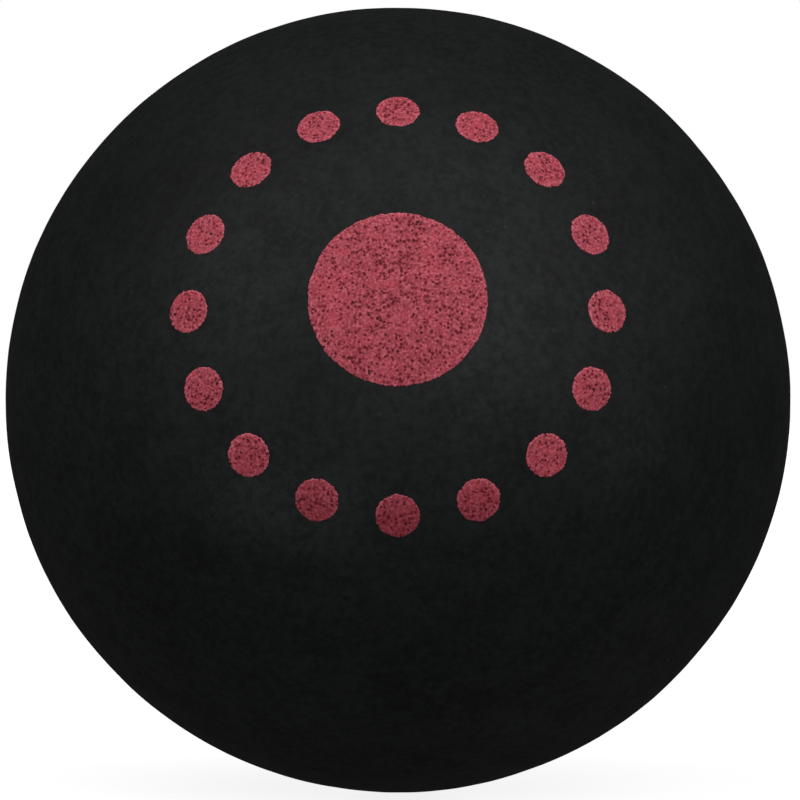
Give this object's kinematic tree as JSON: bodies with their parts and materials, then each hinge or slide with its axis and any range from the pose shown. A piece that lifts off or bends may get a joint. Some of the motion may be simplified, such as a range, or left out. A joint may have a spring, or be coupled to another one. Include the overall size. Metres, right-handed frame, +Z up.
{
  "type": "squash ball",
  "caption": "Hollow black rubber ball for squash: buffed half shells cemented at a seam around sealed air, with a red printed speed dot ringed by small dots.",
  "frame": {"origin": "centre of the ball", "axes": "+Z up; the half shells meet in the XZ plane, and the printed half shell faces -Y"},
  "size_m": [0.0424, 0.0425, 0.0424],
  "materials": {
    "buffed_rubber": "matte",
    "rubber_cement": "satin",
    "red_ink": "matte"
  },
  "bodies": {
    "root": {"front_half_shell": "buffed_rubber", "rear_half_shell": "buffed_rubber", "seam_cement": "rubber_cement", "speed_dot": "red_ink", "ring_dots": "red_ink"}
  },
  "joints": []
}
